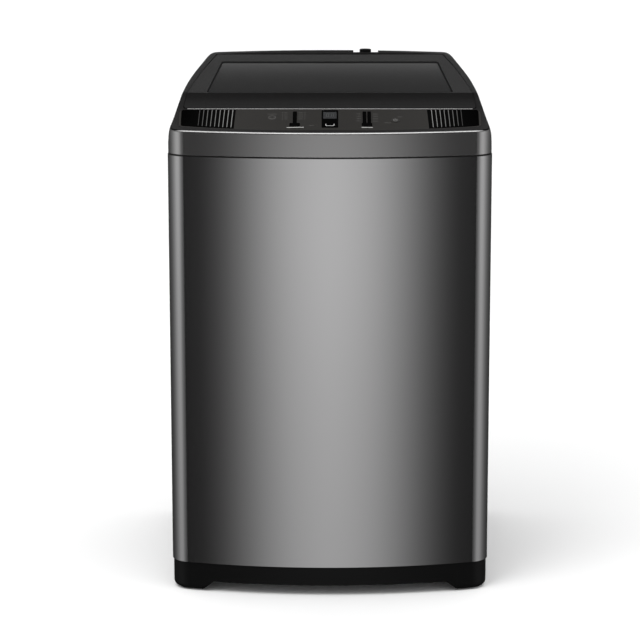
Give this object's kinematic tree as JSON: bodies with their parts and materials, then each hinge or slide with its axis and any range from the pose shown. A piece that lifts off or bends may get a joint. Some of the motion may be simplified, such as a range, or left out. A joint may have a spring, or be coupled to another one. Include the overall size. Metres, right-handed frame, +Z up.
{
  "type": "top load washing machine",
  "caption": "Bow-front top load washing machine: grey metallic cabinet, silver fascia, dark sloped control panel and a rear-hinged lid with a large tinted window.",
  "frame": {"origin": "on the floor, below the middle of the overall footprint", "axes": "+Z up, front of the machine faces -Y, +X to the right seen from the front"},
  "size_m": [0.54, 0.5499, 0.878],
  "materials": {
    "cabinet_paint": "metallic titanium grey enamel",
    "fascia_silver": "metallic silver-grey paint",
    "cover_plastic": "dark warm grey, fine texture",
    "black_plastic": "black",
    "panel_plastic": "dark warm grey, satin",
    "gloss_black": "gloss black",
    "rib_silver": "silver",
    "key_grey": "dark grey satin",
    "tinted_glass": "smoke tint",
    "trim_light": "silver",
    "galvanised": "galvanised sheet",
    "stainless": "stainless",
    "white_plastic": "white",
    "grey_plastic": "light grey",
    "blue_plastic": "pale blue",
    "steel": "zinc plated",
    "rubber_black": "black",
    "cast_alu": "die cast",
    "motor_paint": "dark",
    "board_green": "lacquered board",
    "hose_grey": "light grey"
  },
  "bodies": {
    "cabinet": {"cabinet_shell": "cabinet_paint", "rear_panel": "galvanised", "panel_screws": "steel", "base_frame": "black_plastic", "foot_pads": "rubber_black", "top_cover": "cover_plastic", "front_fascia": "fascia_silver", "cord_grommet": "rubber_black", "drain_outlet": "grey_plastic", "lid_bumpers": "rubber_black", "control_panel": "panel_plastic", "panel_inserts": "gloss_black", "panel_ribs": "rib_silver", "display_window": "gloss_black", "control_box": "black_plastic", "control_board": "board_green", "dispenser_housing": "grey_plastic", "inlet_valve": "black_plastic", "valve_coil": "blue_plastic", "level_sensor": "white_plastic", "hanger_plates": "galvanised", "suspension_rods": "steel", "rod_seats": "steel", "suspension_springs": "steel", "pressure_hose": "rubber_black", "drain_hose": "hose_grey"},
    "tub": {"outer_tub": "white_plastic", "tub_ring": "white_plastic", "air_trap": "grey_plastic", "drive_bracket": "galvanised", "clutch_housing": "cast_alu", "shaft_seal": "rubber_black", "motor_body": "motor_paint", "drive_belt": "rubber_black", "drain_valve": "white_plastic", "drain_actuator": "black_plastic", "damper_cups": "grey_plastic"},
    "basket": {"basket_shell": "stainless", "balance_ring": "grey_plastic", "basket_base": "grey_plastic", "basket_flange": "cast_alu", "spin_shaft": "steel", "lint_filters": "blue_plastic"},
    "pulsator": {"pulsator": "blue_plastic", "pulsator_cap": "rib_silver", "wash_shaft": "steel"},
    "clutch_pulley": {"clutch_pulley": "cast_alu"},
    "motor_pulley": {"motor_pulley": "steel"},
    "lid": {"lid_frame": "cover_plastic", "lid_inner_frame": "black_plastic", "lid_glass": "tinted_glass", "lid_trim": "trim_light", "lid_hinge_pins": "steel"},
    "drawer": {"detergent_drawer": "white_plastic"},
    "foot": {"leveling_foot": "steel"},
    "start_key": {"start_button": "gloss_black"},
    "program_key": {"program_button": "gloss_black"},
    "level_key": {"level_button": "gloss_black"},
    "power_key": {"power_button": "key_grey"}
  },
  "joints": [
    {"name": "lid_hinge", "type": "hinge", "parent": "cabinet", "child": "lid", "pos_m": [0, 0.217, 0.86043], "axis": [-1, 0, 0], "range_deg": [0, 95]},
    {"name": "tub_bounce", "type": "slide", "parent": "cabinet", "child": "tub", "axis": [0, 0, 1], "range_m": [-0.016, 0.006], "stiffness_N_per_m": 12000, "springref_m": 0.02, "deforming": ["suspension_springs", "pressure_hose", "drain_hose"]},
    {"name": "basket_spin", "type": "hinge", "parent": "tub", "child": "basket", "pos_m": [0, 0, 0.4], "axis": [0, 0, 1], "continuous": true},
    {"name": "pulsator_spin", "type": "hinge", "parent": "tub", "child": "pulsator", "pos_m": [0, 0, 0.28], "axis": [0, 0, 1], "continuous": true},
    {"name": "clutch_pulley_spin", "type": "hinge", "parent": "tub", "child": "clutch_pulley", "pos_m": [0, 0, 0.082], "axis": [0, 0, 1], "continuous": true},
    {"name": "motor_spin", "type": "hinge", "parent": "tub", "child": "motor_pulley", "pos_m": [-0.15, 0, 0.082], "axis": [0, 0, 1], "continuous": true},
    {"name": "drawer_slide", "type": "slide", "parent": "cabinet", "child": "drawer", "axis": [0, -1, 0], "range_m": [0, 0.045]},
    {"name": "foot_screw", "type": "slide", "parent": "cabinet", "child": "foot", "axis": [0, 0, -1], "range_m": [0, 0.012]},
    {"name": "start_key_press", "type": "slide", "parent": "cabinet", "child": "start_key", "axis": [0, 0.382, -0.9242], "range_m": [0, 0.0008], "stiffness_N_per_m": 800, "springref_m": -0.0006},
    {"name": "program_key_press", "type": "slide", "parent": "cabinet", "child": "program_key", "axis": [0, 0.382, -0.9242], "range_m": [0, 0.0008], "stiffness_N_per_m": 800, "springref_m": -0.0006},
    {"name": "level_key_press", "type": "slide", "parent": "cabinet", "child": "level_key", "axis": [0, 0.382, -0.9242], "range_m": [0, 0.0008], "stiffness_N_per_m": 800, "springref_m": -0.0006},
    {"name": "power_key_press", "type": "slide", "parent": "cabinet", "child": "power_key", "axis": [0, 0.382, -0.9242], "range_m": [0, 0.0008], "stiffness_N_per_m": 800, "springref_m": -0.0006}
  ],
  "couplings": [
    {"joint": "clutch_pulley_spin", "follows": "pulsator_spin", "ratio": 5.2},
    {"joint": "motor_spin", "follows": "pulsator_spin", "ratio": 9.611}
  ]
}
